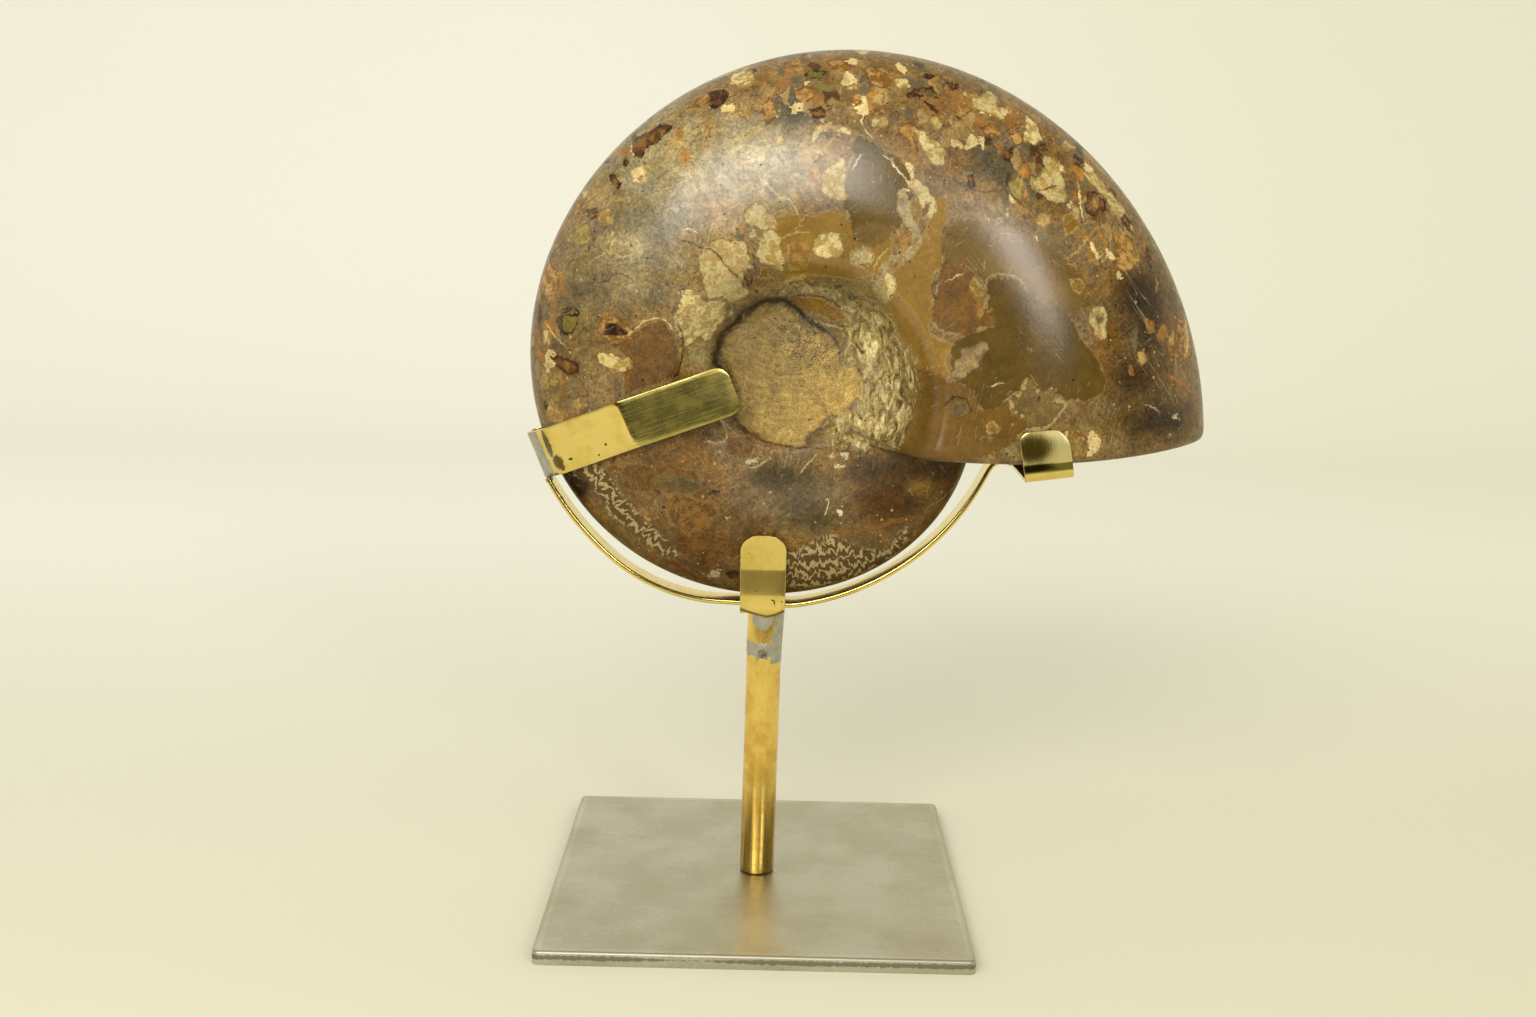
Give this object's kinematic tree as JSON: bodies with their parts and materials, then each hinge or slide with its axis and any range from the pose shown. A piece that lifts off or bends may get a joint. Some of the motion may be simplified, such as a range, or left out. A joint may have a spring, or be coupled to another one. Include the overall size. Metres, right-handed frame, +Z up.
{
  "type": "fossil on stand",
  "caption": "Half of a polished ammonite held upright by bent brass clips on a curved band, on a round brass post and a flat square steel foot.",
  "frame": {"origin": "centre of the foot's underside, where the stand rests", "axes": "+Z up, +X to the right seen from the domed polished face, +Y away from the domed face, so the flat cut face looks along +Y"},
  "size_m": [0.246, 0.15, 0.3075],
  "materials": {
    "stone": "polished fossil limestone and calcite, soft gloss",
    "brass": "brushed and part polished, small pits",
    "steel": "mill finish with a ground rim and a trace of rust",
    "solder": "dull grey soft solder"
  },
  "bodies": {
    "root": {"ammonite_half": "stone", "base_plate": "steel", "post": "brass", "cradle_band": "brass", "left_arm_clip": "brass", "bottom_clip": "brass", "right_clip": "brass", "post_solder": "solder", "left_solder": "solder", "right_solder": "solder"}
  },
  "joints": []
}
